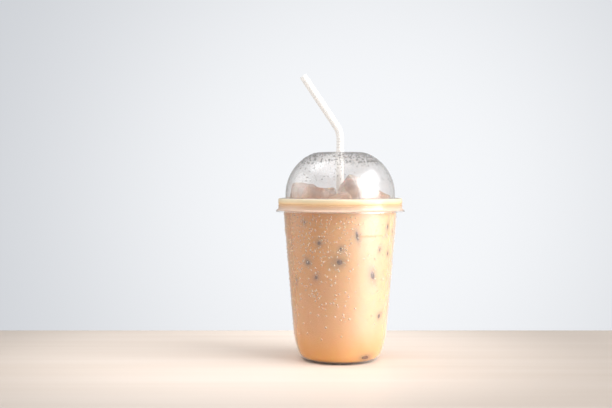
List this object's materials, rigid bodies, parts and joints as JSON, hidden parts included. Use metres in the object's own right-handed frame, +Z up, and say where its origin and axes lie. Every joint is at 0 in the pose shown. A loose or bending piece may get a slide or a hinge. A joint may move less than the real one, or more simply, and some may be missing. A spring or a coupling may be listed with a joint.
{
  "type": "iced coffee in a to-go cup",
  "caption": "Iced milk coffee in a clear to-go cup with a rounded base, dome lid with a straw hole, bent white straw, drink filled to the rim and ice blocks rising into the dome.",
  "frame": {"origin": "centre of the cup's base, on the surface that it stands on", "axes": "+Z up along the cup's axis; the straw's upper arm leans towards -X and -Y faces the viewer"},
  "size_m": [0.1008, 0.1008, 0.2244],
  "materials": {
    "cup_plastic": "clear thin polypropylene, smooth, misted with condensation",
    "lid_plastic": "clear thin PET, smooth, misted with condensation",
    "straw_plastic": "opaque white polypropylene, satin",
    "coffee": "opaque milky coffee, liquid",
    "ice": "melting ice stained by coffee, wet"
  },
  "bodies": {
    "root": {"cup": "cup_plastic", "lid": "lid_plastic", "straw": "straw_plastic", "coffee": "coffee", "ice_1": "ice", "ice_2": "ice", "ice_3": "ice", "ice_4": "ice", "ice_5": "ice", "ice_6": "ice", "ice_7": "ice", "ice_8": "ice"}
  },
  "joints": []
}
